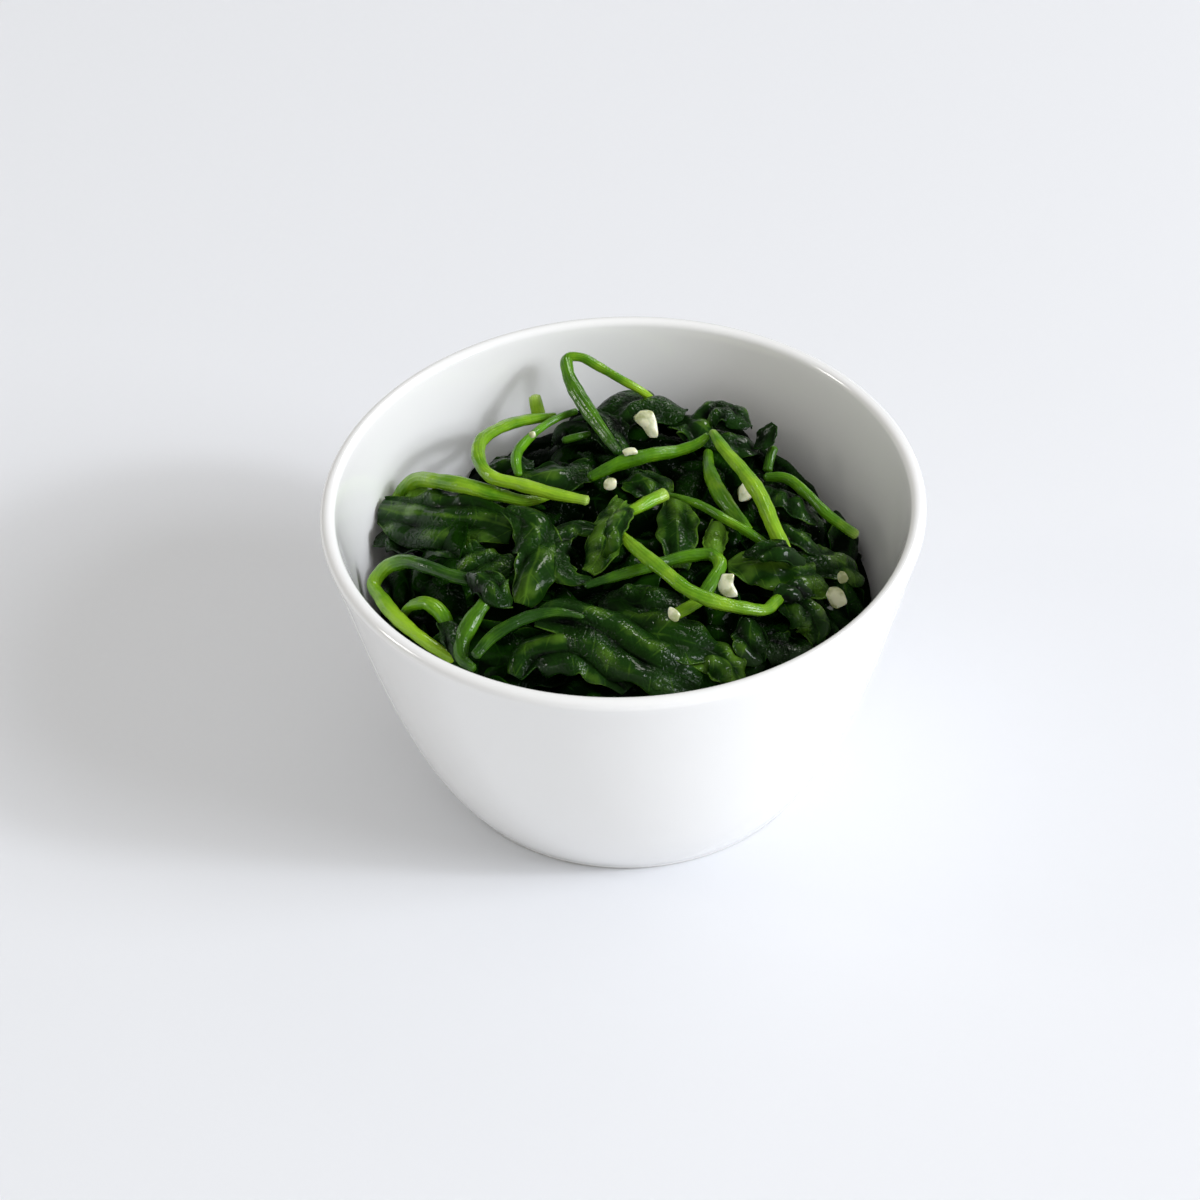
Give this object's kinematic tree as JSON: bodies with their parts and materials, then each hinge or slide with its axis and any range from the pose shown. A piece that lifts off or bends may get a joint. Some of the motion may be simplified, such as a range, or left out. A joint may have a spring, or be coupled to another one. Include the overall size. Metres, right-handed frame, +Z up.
{
  "type": "bowl of cooked spinach",
  "caption": "Round white glazed bowl filled with wilted spinach leaves, bright green stems looping over them, and bits of chopped garlic.",
  "frame": {"origin": "on the table under the middle of the bowl's foot ring", "axes": "+Z up, the bowl's axis; -Y towards the picture's viewpoint; +X to the right in the picture"},
  "size_m": [0.1298, 0.1298, 0.07],
  "materials": {
    "porcelain": "smooth white glaze, soft gloss",
    "stem": "bright green cooked stems, wet, finely ribbed along their length",
    "pale_stem": "pale yellow-green cut stems, wet",
    "blade": "very dark green wilted leaf, wet and glossy, creased",
    "young_blade": "lighter green small leaf, wet, finely blistered",
    "garlic": "ivory chopped garlic, moist and slightly see-through"
  },
  "bodies": {
    "root": {"bowl": "porcelain", "stem_back_loop": "stem", "stem_back_hook": "stem", "stem_left_arc": "stem", "stem_back_stub": "pale_stem", "stem_back_fold": "pale_stem", "stem_left_hook": "stem", "stem_left_short": "stem", "stem_front_left": "stem", "stem_front_leaf": "stem", "stem_right_bend": "stem", "stem_long_diagonal": "stem", "stem_pale_stub": "pale_stem", "stem_peak_left": "stem", "stem_peak_right": "stem", "stem_under_peak": "stem", "stem_thin_crossing": "stem", "stem_right_free": "stem", "stem_right_upright": "stem", "stem_back_bit": "stem", "garlic_back_wedge": "garlic", "garlic_under_peak": "garlic", "garlic_right_block": "garlic", "garlic_right_slice": "garlic", "garlic_far_right_bit": "garlic", "garlic_front_bit": "garlic", "garlic_back_bit": "garlic", "garlic_back_sliver": "garlic", "garlic_deep_bit": "garlic", "blade_left_large": "blade", "blade_left_edge": "blade", "blade_left_inner": "blade", "blade_centre_drape": "blade", "blade_curl": "blade", "blade_centre_ridge": "blade", "blade_back_left": "blade", "blade_back_centre": "blade", "blade_back_right": "blade", "blade_back_right_low": "blade", "blade_back_right_tip": "blade", "blade_olive": "young_blade", "blade_small_bright": "young_blade", "blade_front_long": "blade", "blade_front_low": "blade", "blade_front_right": "blade", "blade_front_crumple": "young_blade", "blade_right_hanging": "blade", "blade_right_bulge": "blade", "blade_right_upper": "blade", "blade_far_right": "blade", "blade_right_back": "blade", "blade_centre_glossy": "blade", "blade_centre_dark": "blade", "blade_back_middle": "blade", "blade_loop_leaf": "blade", "blade_right_low": "blade", "leaf_mass": "blade"}
  },
  "joints": []
}
